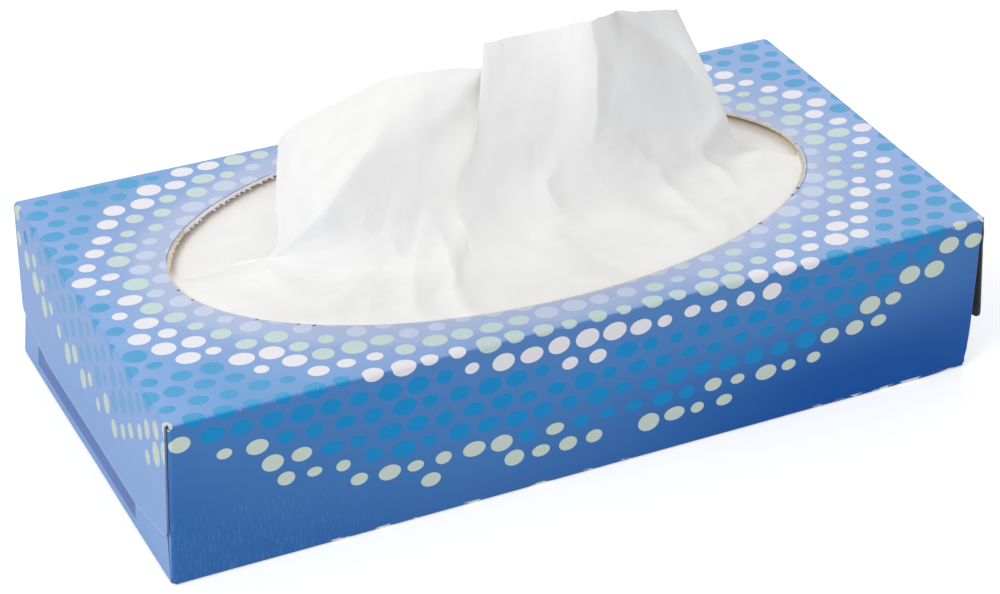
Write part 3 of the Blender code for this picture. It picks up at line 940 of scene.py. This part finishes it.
# Each crease: its edge's radius, its lift at start, middle and end, its reach on either side, and
# its line in columns and rows of knots.
creases = (
    (2, (-0.9, -0.1, -0.3), (23, 17), ((2.96, 0), (2.83, 0.22), (2.7, 0.47), (2.54, 0.7), (2.38, 0.78))),
    (0.3, (1.3, 5, 2.5), (16, 16), ((2.38, 0.78), (2.27, 0.96), (1.98, 1.22), (1.7, 1.42), (1.54, 1.53),
        (1.15, 1.66), (0.66, 1.87), (0.34, 2.02))),
    (2.2, (2.6, 0.9, 0.8), (10, 13), ((3.54, 0.12), (3.46, 0.31), (3.42, 0.53), (3.33, 0.66), (3.16, 0.73),
        (2.88, 0.74), (2.67, 0.85), (2.47, 0.89))),
    (2.2, (0.3, 0.6, -0.8), (12, 19), ((0.38, 2.07), (1.16, 1.88), (1.59, 1.71), (2.1, 1.74), (2.46, 2.03),
        (2.85, 2.07))),
    (1.9, (0.6, 0.2, 0.1), (9, 17), ((2.18, 1.88), (2.44, 2.09))),
    (0.7, (-0.5, 1.9, 1.4), (16, 13), ((2.48, 2.14), (2.53, 2.28), (2.53, 2.62), (2.69, 3.23), (2.86, 3.53),
        (3.3, 4.3))),
    (0.7, (-0.2, -0.4, -0.9), (7, 15), ((2.55, 1.95), (2.69, 2.31), (2.73, 2.87), (3.26, 3.61), (3.76, 4.3))),
    (0.7, (-1.3, 0.9, -1.9), (17, 16), ((3.15, 2.03), (3.07, 2.53), (3.52, 3.19), (3.97, 3.76), (4.4, 4.3))),
    (0.4, (0.3, 0.8, 0.9), (5, 5), ((3.25, 2.04), (3.56, 2.56), (4.17, 3.14), (4.47, 3.8), (4.71, 4.3))),
    (0.7, (0.2, 0.6, 1.5), (24, 19), ((2.96, 2.09), (2.87, 2.44), (3.2, 3.34), (3.67, 3.86), (4.07, 4.3))),
    (0.6, (0.4, -0.3, 1.4), (10, 8), ((3.66, 2.91), (4.03, 3.36), (4.21, 3.93), (4.32, 4.3))),
    (0.3, (-0.2, 0.3, 0.6), (4, 6), ((3.41, 2.17), (4.03, 2.85), (4.48, 3.6), (4.53, 3.92), (4.58, 4.3))),
    (1.1, (0.5, -0.5, -2.5), (17, 21), ((3.95, 2.82), (5.01, 2.7), (5.42, 2.7), (5.71, 2.64))),
    (0.3, (1.8, 2, 1.4), (18, 18), ((6.99, 0), (7.08, 0.31), (7.12, 0.46), (7.09, 0.85), (7.13, 1.15),
        (7.11, 1.48), (7.2, 1.59))),
    (3, (0.1, -1.5, -0.2), (24, 24), ((6.01, 0.05), (5.8, 0.38), (5.65, 0.72), (5.59, 1.18), (5.63, 1.84))),
    (0.4, (-3.2, -1.3, 0.4), (12, 12), ((8.11, 0.01), (8.51, 0.15), (8.88, 0.31), (9.1, 0.44), (9.41, 0.62),
        (9.58, 0.89), (9.78, 1.12), (9.96, 1.3), (9.94, 1.49))),
    (2.1, (-0.7, -2.4, -2.1), (23, 23), ((7.47, 1.26), (7.81, 1.48), (8.09, 1.7), (8.22, 1.93), (8.22, 2.2))),
    (0.4, (-0.6, 0.8, -0.5), (9, 10), ((8.29, 1.75), (8.38, 2.01), (8.4, 2.37))),
    (0.5, (1, 1.5, 1.5), (13, 12), ((7.2, 1.59), (7.62, 1.73), (7.97, 1.87), (8.21, 2))),
    (0.5, (1, 1.3, 1), (14, 17), ((9.92, 1.44), (9.29, 1.62), (8.96, 1.75), (8.79, 1.88))),
    (0.3, (-0.3, -0.1, -0.1), (4, 24), ((10, 1.82), (9.39, 1.92), (8.97, 1.92), (8.53, 2.14))),
    (2.2, (-1.8, -0.3, 0), (24, 23), ((7.18, 1.67), (6.59, 1.81), (6.2, 1.91))),
    (0.5, (0.4, 0.4, -0.6), (12, 18), ((6.19, 1.94), (6.33, 2.37), (6.32, 2.6))),
    (2, (1.3, 1.4, 1.3), (17, 20), ((5.8, 0.87), (5.78, 1.17), (5.92, 1.64), (6, 1.8))),
    (2.2, (-0.5, -0.1, -0.7), (19, 19), ((5.17, 1.21), (5.5, 1.67), (5.67, 2.1))),
    (2.2, (-0.7, -0.8, -1.1), (20, 17), ((6.52, 2.26), (6.66, 2.62))),
    (2.2, (-0.6, -0.5, -0.9), (18, 17), ((7.15, 2.22), (7.41, 2.35), (7.55, 2.63))),
    (1, (-0.8, -0.9, -0.5), (11, 11), ((6.02, 2.48), (6.22, 2.66), (6.17, 3.26), (6.21, 3.7), (6.27, 4.3))),
    (2.2, (2.6, 3, 1.1), (20, 19), ((7.22, 3.28), (7.1, 3.63), (7.11, 3.88), (7.13, 4.3))),
    (1, (0.4, 1.6, 0.5), (6, 24), ((7.76, 3.3), (7.45, 3.93), (7.26, 4.3))),
    (0.3, (0.1, 0.3, 0.5), (4, 7), ((8.03, 2.6), (7.53, 3.44), (7.33, 3.93), (7.17, 4.3))),
    (2.2, (1, 1.3, 1.9), (16, 24), ((8.55, 2.38), (8.26, 2.91), (7.96, 3.47))),
    (0.3, (-4.2, 0.5, -0.3), (19, 16), ((0, 3.92), (0, 3.02), (0.83, 2.5), (1.55, 2.17), (1.87, 2.12))),
    (0.7, (3.2, 3.4, 3.1), (24, 24), ((1.1, 2.92), (1.68, 3.24), (2.13, 3.48))),
    (0.5, (-1.1, -2.5, 0.5), (12, 13), ((1.46, 3.31), (2.12, 3.54), (2.56, 3.79), (3.13, 4.11))),
    (0.3, (0.5, -1.3, 0.3), (4, 22), ((1.97, 3.25), (2.49, 3.54), (2.97, 3.84), (3.54, 4.19))),
    (2.2, (-0.9, -0.3, 0.4), (24, 8), ((5.69, 0.03), (5.43, 0.26), (5.11, 0.38))),
    (0.4, (0.2, 0.7, 0.2), (5, 5), ((2.62, 2.16), (2.74, 2.4), (2.88, 2.66))),
    (0.4, (0.1, 0.8, 1), (5, 5), ((3.2, 2.2), (3.1, 2.62), (3.25, 3), (3.75, 3.45), (4.05, 3.87),
        (4.3, 4.3))),
    (0.4, (0.1, 0.7, 0.9), (5, 4), ((2.8, 2.75), (2.87, 2.9), (3, 3.3), (3.28, 3.6), (3.47, 3.83),
        (3.7, 4.3))),
    (0.4, (0.2, 0.9, 0.3), (6, 6), ((7.6, 1.4), (7.97, 1.68), (8.2, 1.98), (8, 2.55), (7.6, 3.25),
        (7.28, 3.8))),
    (0.4, (0.3, 0.8, 0.3), (5, 5), ((8.97, 1.85), (8.88, 2.45), (8.38, 3.28))),
    (0.4, (0.2, 0.8, 0.5), (5, 5), ((10, 1.48), (9.4, 1.65), (9, 1.85))),
    (0.4, (0.1, 0.7, 0.2), (5, 5), ((6.55, 1.65), (6.25, 1.9), (6.28, 2.15), (6.33, 2.55))),
)


def through(points, places):
    """A smooth curve through evenly counted points, at each of the places."""
    first = numpy.minimum(places.astype(int), len(points) - 2)
    t = (places - first).reshape(-1, *[1] * (points.ndim - 1))
    ends = [[points[0] * 2 - points[1]], points, [points[-1] * 2 - points[-2]]]
    a, b, c, d = (numpy.concatenate(ends)[first + n] for n in range(4))
    return (b * 2 + (c - a) * t + (a * 2 - b * 5 + c * 4 - d) * t**2 + (b * 3 - a - c * 3 + d) * t**3) / 2


def tuck_row(outset, drop):
    """Knots where the sheet passes under the opening's front rim."""
    row = []
    for k in range(knot_count):
        share = k / (knot_count - 1)
        angle = mix(*rim_angles, share)
        sag = ridge_drop * (2 * share - 1) ** 6
        row.append((
            (opening_half_x + outset) * math.cos(angle),
            opening_y + (opening_half_y + outset) * math.sin(angle),
            height - board - drop - sag,
        ))
    return row


def flat_row(y, lift):
    """Knots across the sheet where it lies on the pile."""
    return [(sheet_half * (2 * k / (knot_count - 1) - 1), y, pile_top(y) + lift) for k in range(knot_count)]


def crease_lift(radius, lifts, reaches, line, across, down):
    """How far one crease lifts each point of the sheet. It is sharpest along its line, and its
    slopes fade out over its reach, which differs from side to side."""
    line = numpy.array(line) * (column_length, row_length)
    steps = numpy.diff(line, axis=0)
    lengths = numpy.hypot(*steps.T)
    nearest = numpy.full(across.shape, 1.0)
    side, share, walked = numpy.zeros(across.shape), numpy.zeros(across.shape), 0
    for start, step, run in zip(line, steps, lengths):
        way = step / run
        off_x, off_y = across - start[0], down - start[1]
        on_line = numpy.clip(off_x * way[0] + off_y * way[1], 0, run)
        away = numpy.hypot(off_x - on_line * way[0], off_y - on_line * way[1])
        closer = away < nearest
        nearest = numpy.where(closer, away, nearest)
        side = numpy.where(closer, way[0] * off_y - way[1] * off_x, side)
        share = numpy.where(closer, (walked + on_line) / lengths.sum(), share)
        walked += run
    reach = numpy.where(side > 0, reaches[0], reaches[1]) * MM
    slope = numpy.maximum(1 - (numpy.sqrt(nearest**2 + (radius * MM) ** 2) - radius * MM) / reach, 0)
    return numpy.interp(share, (0, 0.5, 1), lifts) * MM * slope**2


def fade(places, full, gone):
    """1 where the places have reached full, 0 where they have reached gone."""
    return numpy.clip((gone - places) / (gone - full), 0, 1)


def sheet_mesh():
    """The sheet's middle face. Its sharp fold, creases, crumples and frayed top edge each fade out
    over rows of knots. The strip that lies hidden behind the fold moves as the fold does."""
    standing = numpy.array(standing_knots) * MM
    rows = [*standing, *(numpy.array(tuck_row(*tuck)) for tuck in rim_tucks)]
    rows.append(numpy.array(flat_row(sheet_front + fold_radius, sheet_rest + 2 * fold_radius)))
    ks = numpy.linspace(0, knot_count - 1, 331)
    js = numpy.concatenate([numpy.linspace(0, 4, 93), numpy.linspace(4, 6, 17)[1:]])
    columns = through(numpy.array(rows), js).transpose(1, 0, 2)
    first = numpy.minimum(ks.astype(int), knot_count - 2)
    straight = columns[first] + (columns[first + 1] - columns[first]) * (ks - first)[:, None, None]
    spread = numpy.where(ks < turn_column, turn_spread_left, turn_spread_right)
    sharp = numpy.exp(-(((ks - turn_column) / spread) ** 2))[:, None] * fade(js, 1.8, 2.6)
    grid = mix(through(columns, ks), straight, sharp[..., None]).transpose(1, 0, 2)
    down_way, across_way = numpy.gradient(grid, js, axis=0), numpy.gradient(grid, ks, axis=1)
    facing = numpy.cross(down_way, across_way)
    facing /= numpy.linalg.norm(facing, axis=2, keepdims=True)
    across, down = numpy.meshgrid(ks * column_length, js * row_length)
    lift = sum(crease_lift(*crease, across, down) for crease in creases)
    lift *= fade(js, 3.65, 4.35)[:, None]
    crumple = [noise.noise(Vector((x * 90, y * 60, 3))) for x, y in zip(across.flat, down.flat)]
    lift += numpy.array(crumple).reshape(lift.shape) * crumple_depth * fade(js, 3.5, 4.5)[:, None]
    shift = facing * lift[..., None]
    at_fold = shift[:, numpy.argmin(abs(ks - turn_column))]
    edge = at_fold[:, None] * fade(ks, turn_column, turn_column - 1)[:, None]
    behind = fade(ks, turn_column - 0.8, turn_column - 1.1) * (ks < turn_column)
    grid += mix(shift, edge, (behind * fade(js, 2.1, 2.7)[:, None])[..., None])
    frayed = [noise.noise(Vector((k * 3.1, 5, 9))) + noise.noise(Vector((k * 9.7, 2, 4))) / 2 for k in ks]
    cut = numpy.array(frayed) * fray_depth * fade(js, 0, 0.5)[:, None]
    grid += down_way / row_length * cut[..., None]
    lower = [(sheet_front, sheet_rest + fold_radius)]
    turned = sheet_front + fold_radius
    lower += [(mix(turned, sheet_back, s), sheet_rest) for s in shares(12)]
    flat = [through(numpy.array(flat_row(y, lift_here)), ks) for y, lift_here in lower]
    rows = numpy.concatenate([grid, numpy.array(flat)])
    count = len(ks)
    data = bpy.data.meshes.new("top_tissue")
    corners = [
        (r * count + c, (r + 1) * count + c, (r + 1) * count + c + 1, r * count + c + 1)
        for r in range(len(rows) - 1) for c in range(count - 1)
    ]
    data.from_pydata(rows.reshape(-1, 3).tolist(), [], corners)
    lengths = numpy.linalg.norm(numpy.diff(rows, axis=0), axis=2).mean(axis=1)
    places = numpy.concatenate([[0], numpy.cumsum(lengths)])
    uv = data.uv_layers.new(name="sheet")
    for loop in data.loops:
        row, column = divmod(loop.vertex_index, count)
        uv.data[loop.index].uv = (2 * sheet_half * column / (count - 1), places[row])
    return data


tissue_material = tissue_paper("tissue_paper", "sheet")
tissue = put("top_tissue", sheet_mesh())
tissue.data.materials.append(tissue_material)
ply = tissue.modifiers.new("thickness", "SOLIDIFY")
ply.thickness, ply.offset, ply.use_even_offset = sheet_thickness, 0, False
tissue = plain(tissue)
tissue.data.set_sharp_from_angle(angle=math.radians(70))
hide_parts("pulled_tissue")
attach(tissue, "box")
